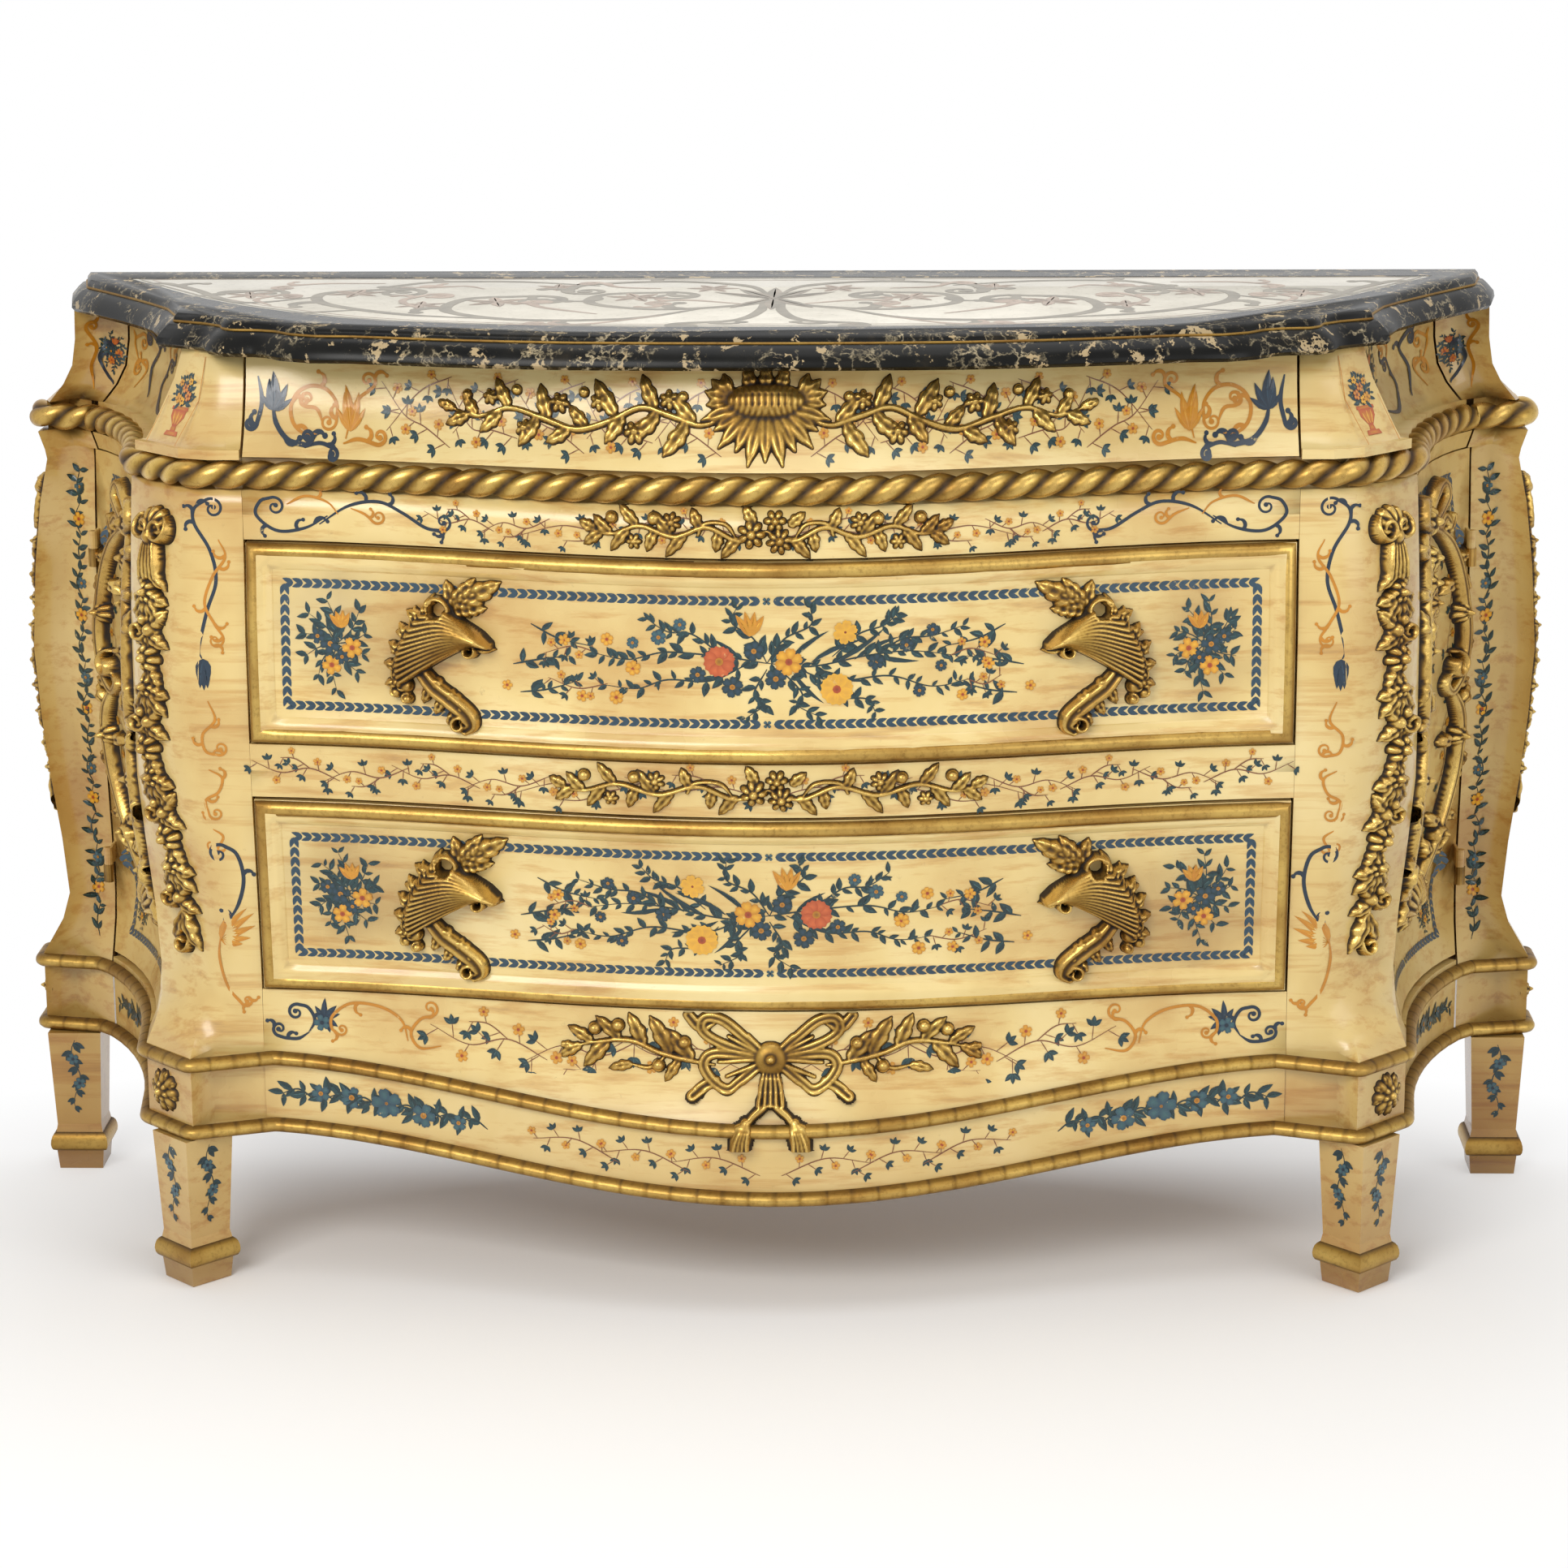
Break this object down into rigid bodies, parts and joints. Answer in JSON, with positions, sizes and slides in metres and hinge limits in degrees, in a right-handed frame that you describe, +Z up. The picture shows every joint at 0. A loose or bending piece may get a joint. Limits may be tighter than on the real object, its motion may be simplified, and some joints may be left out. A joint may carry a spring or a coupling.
{
  "type": "chest of drawers",
  "caption": "Painted and gilt bombe chest with bowed drawers, curved side doors, rope moulding, carved mounts, square feet and a marble top.",
  "frame": {"origin": "middle of the whole chest in plan, on the floor", "axes": "+Z up, +X to the right of someone who faces the drawers, +Y from the drawers towards the back panel"},
  "size_m": [1.5326, 0.4708, 0.92],
  "materials": {
    "painted_wood": "ivory paint with floral sprays and an aged amber glaze",
    "gilding": "carved and gilt, antique gold with brown recesses",
    "oak": "plain unpainted secondary wood",
    "dark_marble": "polished near-black marble with pale veins",
    "inlay": "polished pale stone field with grey scrollwork",
    "brass": "dull brass"
  },
  "bodies": {
    "case": {"upper_rail": "painted_wood", "middle_rail": "painted_wood", "bottom_rail": "painted_wood", "front_apron": "painted_wood", "back_panel": "oak", "dust_board": "oak", "bottom_board": "oak", "upper_base_moulding": "gilding", "lower_base_moulding": "gilding", "rope_moulding": "gilding", "marble_top": "dark_marble", "scagliola_inlay": "inlay", "upper_rail_garland": "gilding", "middle_rail_garland": "gilding", "apron_bow": "gilding", "right_front_post": "painted_wood", "left_front_post": "painted_wood", "right_back_post": "painted_wood", "left_back_post": "painted_wood", "right_side_frieze": "painted_wood", "left_side_frieze": "painted_wood", "right_side_apron": "painted_wood", "left_side_apron": "painted_wood", "right_upper_hinge": "brass", "left_upper_hinge": "brass", "right_lower_hinge": "brass", "left_lower_hinge": "brass", "right_partition": "oak", "left_partition": "oak", "right_front_leg": "painted_wood", "left_front_leg": "painted_wood", "right_back_leg": "painted_wood", "left_back_leg": "painted_wood", "right_front_post_drop": "gilding", "left_front_post_drop": "gilding", "right_back_post_drop": "gilding", "left_back_post_drop": "gilding", "right_front_base_rosette": "gilding", "left_front_base_rosette": "gilding", "right_back_base_rosette": "gilding", "left_back_base_rosette": "gilding"},
    "frieze_drawer": {"frieze_drawer_front": "painted_wood", "frieze_drawer_box": "oak", "frieze_drawer_bottom": "oak", "frieze_drawer_mount": "gilding"},
    "middle_drawer": {"middle_drawer_front": "painted_wood", "middle_drawer_box": "oak", "middle_drawer_bottom": "oak", "right_middle_drawer_pull": "gilding", "left_middle_drawer_pull": "gilding"},
    "lower_drawer": {"lower_drawer_front": "painted_wood", "lower_drawer_box": "oak", "lower_drawer_bottom": "oak", "right_lower_drawer_pull": "gilding", "left_lower_drawer_pull": "gilding"},
    "right_door": {"right_side_door": "painted_wood", "right_door_cartouche": "gilding"},
    "left_door": {"left_side_door": "painted_wood", "left_door_cartouche": "gilding"}
  },
  "joints": [
    {"name": "frieze_drawer_slide", "type": "slide", "parent": "case", "child": "frieze_drawer", "axis": [0, -1, 0], "range_m": [0, 0.26]},
    {"name": "middle_drawer_slide", "type": "slide", "parent": "case", "child": "middle_drawer", "axis": [0, -1, 0], "range_m": [0, 0.26]},
    {"name": "lower_drawer_slide", "type": "slide", "parent": "case", "child": "lower_drawer", "axis": [0, -1, 0], "range_m": [0, 0.26]},
    {"name": "right_door_hinge", "type": "hinge", "parent": "case", "child": "right_door", "pos_m": [0.68, 0.1634, 0.5], "axis": [0, 0, 1], "range_deg": [0, 90]},
    {"name": "left_door_hinge", "type": "hinge", "parent": "case", "child": "left_door", "pos_m": [-0.68, 0.1634, 0.5], "axis": [0, 0, -1], "range_deg": [0, 90]}
  ]
}
